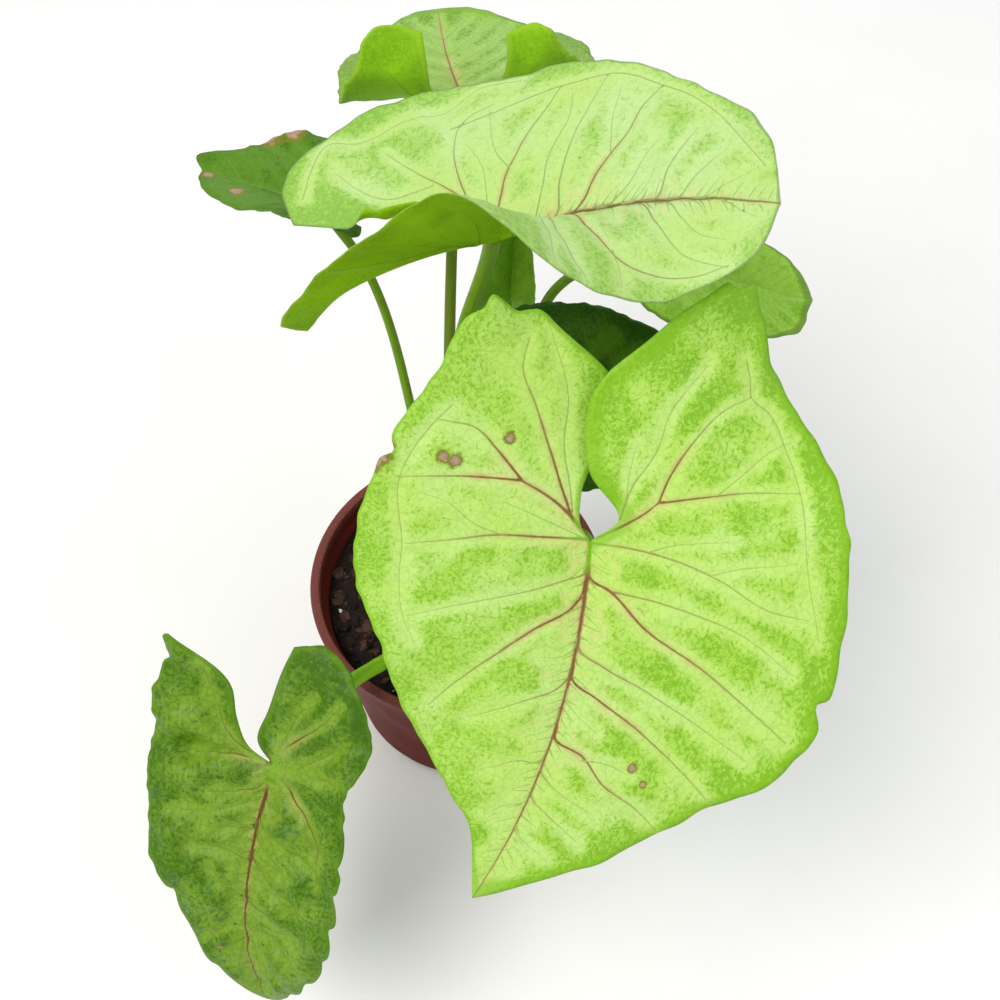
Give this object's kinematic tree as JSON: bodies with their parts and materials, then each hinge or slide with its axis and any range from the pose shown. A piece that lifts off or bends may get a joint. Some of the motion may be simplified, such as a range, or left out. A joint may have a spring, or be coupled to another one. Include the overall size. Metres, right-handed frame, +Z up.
{
  "type": "potted arrowhead plant",
  "caption": "Young arrowhead plant with pale, pink-veined arrow-shaped leaves on slender stalks, growing in a round tapered nursery pot.",
  "frame": {"origin": "centre of the flat underside of the pot", "axes": "+Z up along the pot's axis, -Y towards the side that the large front leaf hangs over, +X to the right of that view"},
  "size_m": [0.1931, 0.2797, 0.2677],
  "materials": {
    "pot_plastic": "moulded nursery pot, low sheen",
    "potting_mix": "loose bark and peat mix, matte",
    "blade_front": "leaf surface, soft sheen",
    "blade_upper": "leaf surface, soft sheen",
    "blade_back": "leaf surface, soft sheen",
    "blade_left_back": "leaf surface, soft sheen",
    "blade_right_back": "leaf surface, soft sheen",
    "blade_shaded": "leaf surface, soft sheen",
    "blade_young": "leaf surface, soft sheen",
    "blade_lower": "leaf surface, soft sheen",
    "stalk_front": "fleshy green stalk, soft sheen",
    "stalk_upper": "fleshy green stalk, soft sheen",
    "stalk_back": "fleshy green stalk, soft sheen",
    "stalk_left_back": "fleshy green stalk, soft sheen",
    "stalk_right_back": "fleshy green stalk, soft sheen",
    "stalk_shaded": "fleshy green stalk, soft sheen",
    "stalk_young": "fleshy green stalk, soft sheen",
    "stalk_lower": "fleshy green stalk, soft sheen"
  },
  "bodies": {
    "root": {"pot": "pot_plastic", "soil": "potting_mix", "blade_front": "blade_front", "blade_upper": "blade_upper", "blade_back": "blade_back", "blade_left_back": "blade_left_back", "blade_right_back": "blade_right_back", "blade_shaded": "blade_shaded", "blade_young": "blade_young", "blade_lower": "blade_lower", "stalk_front": "stalk_front", "stalk_upper": "stalk_upper", "stalk_back": "stalk_back", "stalk_left_back": "stalk_left_back", "stalk_right_back": "stalk_right_back", "stalk_shaded": "stalk_shaded", "stalk_young": "stalk_young", "stalk_lower": "stalk_lower"}
  },
  "joints": []
}
